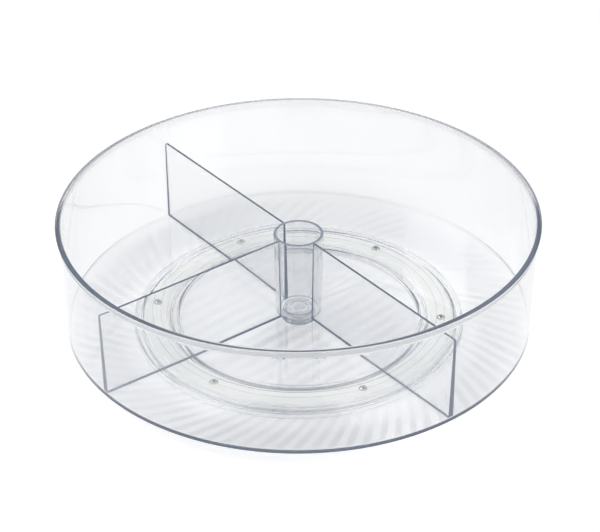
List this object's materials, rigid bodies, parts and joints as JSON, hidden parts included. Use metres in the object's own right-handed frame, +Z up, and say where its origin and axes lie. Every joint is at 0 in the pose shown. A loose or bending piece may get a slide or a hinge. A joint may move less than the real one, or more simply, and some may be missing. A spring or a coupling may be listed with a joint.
{
  "type": "lazy susan turntable",
  "caption": "Round clear storage turntable on a ball bearing ring, with a lift-out divider that makes three compartments round a centre tube.",
  "frame": {"origin": "centre of the circle the pads stand on, at tabletop level on the spin axis", "axes": "+Z up along the spin axis; the divider's three fins lie along +X, -X and -Y, so the large compartment faces +Y"},
  "size_m": [0.292, 0.292, 0.0802],
  "materials": {
    "clear_bin": "clear gloss styrene moulding",
    "clear_divider": "clear gloss styrene moulding",
    "clear_base": "clear gloss styrene moulding",
    "clear_cap": "clear gloss styrene moulding",
    "milky_cage": "milky polypropylene",
    "steel_ball": "polished bearing steel",
    "soft_pad": "clear tacky elastomer"
  },
  "bodies": {
    "base": {"base_plate": "clear_base", "hub_cap": "clear_cap", "foot_1": "soft_pad", "foot_2": "soft_pad", "foot_3": "soft_pad", "foot_4": "soft_pad"},
    "turntable": {"bin": "clear_bin"},
    "divider": {"divider": "clear_divider"},
    "cage": {"ball_cage": "milky_cage"},
    "ball_1": {"ball_1": "steel_ball"},
    "ball_2": {"ball_2": "steel_ball"},
    "ball_3": {"ball_3": "steel_ball"},
    "ball_4": {"ball_4": "steel_ball"},
    "ball_5": {"ball_5": "steel_ball"},
    "ball_6": {"ball_6": "steel_ball"}
  },
  "joints": [
    {"name": "turntable_spin", "type": "hinge", "parent": "base", "child": "turntable", "pos_m": [0, 0, 0.0082], "axis": [0, 0, 1], "continuous": true},
    {"name": "cage_spin", "type": "hinge", "parent": "base", "child": "cage", "pos_m": [0, 0, 0.0055], "axis": [0, 0, 1], "continuous": true},
    {"name": "divider_lift", "type": "slide", "parent": "turntable", "child": "divider", "axis": [0, 0, 1], "range_m": [0, 0.072]},
    {"name": "ball_1_roll", "type": "hinge", "parent": "cage", "child": "ball_1", "pos_m": [0.05934, 0.06498, 0.0055], "axis": [0.6743, 0.7385, 0], "continuous": true},
    {"name": "ball_2_roll", "type": "hinge", "parent": "cage", "child": "ball_2", "pos_m": [-0.02661, 0.08388, 0.0055], "axis": [-0.3024, 0.9532, 0], "continuous": true},
    {"name": "ball_3_roll", "type": "hinge", "parent": "cage", "child": "ball_3", "pos_m": [-0.08595, 0.0189, 0.0055], "axis": [-0.9767, 0.2147, 0], "continuous": true},
    {"name": "ball_4_roll", "type": "hinge", "parent": "cage", "child": "ball_4", "pos_m": [-0.05934, -0.06498, 0.0055], "axis": [-0.6743, -0.7385, 0], "continuous": true},
    {"name": "ball_5_roll", "type": "hinge", "parent": "cage", "child": "ball_5", "pos_m": [0.02661, -0.08388, 0.0055], "axis": [0.3024, -0.9532, 0], "continuous": true},
    {"name": "ball_6_roll", "type": "hinge", "parent": "cage", "child": "ball_6", "pos_m": [0.08595, -0.0189, 0.0055], "axis": [0.9767, -0.2147, 0], "continuous": true}
  ],
  "couplings": [
    {"joint": "cage_spin", "follows": "turntable_spin", "ratio": 0.5},
    {"joint": "ball_1_roll", "follows": "turntable_spin", "ratio": -14.667},
    {"joint": "ball_2_roll", "follows": "turntable_spin", "ratio": -14.667},
    {"joint": "ball_3_roll", "follows": "turntable_spin", "ratio": -14.667},
    {"joint": "ball_4_roll", "follows": "turntable_spin", "ratio": -14.667},
    {"joint": "ball_5_roll", "follows": "turntable_spin", "ratio": -14.667},
    {"joint": "ball_6_roll", "follows": "turntable_spin", "ratio": -14.667}
  ]
}
